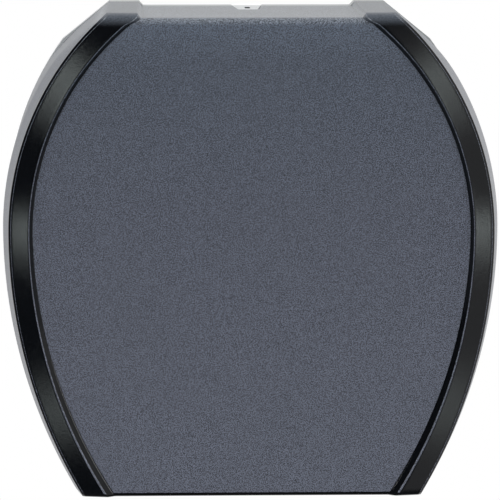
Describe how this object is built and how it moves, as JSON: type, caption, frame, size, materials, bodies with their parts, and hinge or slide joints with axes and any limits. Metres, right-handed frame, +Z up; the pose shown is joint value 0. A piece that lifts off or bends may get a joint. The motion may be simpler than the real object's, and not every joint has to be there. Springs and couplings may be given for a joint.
{
  "type": "jumbo toilet roll dispenser",
  "caption": "Wall-hung dispenser for one jumbo paper roll: barrel-shaped smoke cover with raised side bands, drop-down hinge, top key lock, spinning hub and open bottom slot.",
  "frame": {"origin": "centre of the wall screw pattern on the back face, on the spindle axis", "axes": "+Z up, -Y out of the wall towards the user, X across the symmetric width"},
  "size_m": [0.284, 0.13, 0.2735],
  "materials": {
    "smoke_plastic": "smoke-tinted ABS, fine frosted grain on the panel and polished side bands",
    "plate_grey": "moulded grey ABS, satin",
    "lock_grey": "light grey moulded plastic, satin",
    "dark_plastic": "black moulded ABS, satin",
    "clip_grey": "light grey acetal, satin",
    "latch_plastic": "red acetal, satin",
    "nylon_white": "natural nylon",
    "felt_black": "soft friction ring",
    "screw_steel": "zinc-plated steel",
    "stainless": "brushed stainless steel"
  },
  "bodies": {
    "base": {"back_plate": "plate_grey", "spindle": "dark_plastic", "spindle_screws": "screw_steel", "brake_washer": "felt_black", "thrust_washer": "nylon_white", "spindle_cap": "dark_plastic", "spindle_cap_screw": "screw_steel", "lock_housing": "lock_grey", "lock_screws": "screw_steel", "latch_pin": "screw_steel", "latch_spring": "screw_steel", "hinge_pin_left": "screw_steel", "hinge_pin_right": "screw_steel", "paper_guide": "dark_plastic", "paper_guide_screws": "screw_steel"},
    "cover": {"front_cover": "smoke_plastic", "front_tear_bar": "stainless", "rear_tear_bar": "stainless", "tear_bar_screws": "screw_steel"},
    "hub": {"roll_hub": "dark_plastic", "hub_face": "dark_plastic"},
    "clip_top": {"core_clip_top": "clip_grey"},
    "clip_left": {"core_clip_left": "clip_grey"},
    "clip_right": {"core_clip_right": "clip_grey"},
    "latch": {"latch": "latch_plastic"}
  },
  "joints": [
    {"name": "cover_hinge", "type": "hinge", "parent": "base", "child": "cover", "pos_m": [0, -0.009, -0.1304], "axis": [1, 0, 0], "range_deg": [0, 90]},
    {"name": "hub_spin", "type": "hinge", "parent": "base", "child": "hub", "pos_m": [0, -0.05, 0], "axis": [0, -1, 0], "continuous": true},
    {"name": "core_clip_top_press", "type": "hinge", "parent": "hub", "child": "clip_top", "pos_m": [0, -0.0216, 0.033], "axis": [1, 0, 0], "range_deg": [0, 6], "stiffness_Nm_per_rad": 0.6},
    {"name": "core_clip_left_press", "type": "hinge", "parent": "hub", "child": "clip_left", "pos_m": [-0.02858, -0.0216, -0.0165], "axis": [-0.5, 0, 0.866], "range_deg": [0, 6], "stiffness_Nm_per_rad": 0.6},
    {"name": "core_clip_right_press", "type": "hinge", "parent": "hub", "child": "clip_right", "pos_m": [0.02858, -0.0216, -0.0165], "axis": [-0.5, 0, -0.866], "range_deg": [0, 6], "stiffness_Nm_per_rad": 0.6},
    {"name": "latch_press", "type": "hinge", "parent": "base", "child": "latch", "pos_m": [0, -0.009, 0.1246], "axis": [1, 0, 0], "range_deg": [0, 7], "stiffness_Nm_per_rad": 0.4, "springref_deg": -2.86, "deforming": ["latch_spring"]}
  ]
}
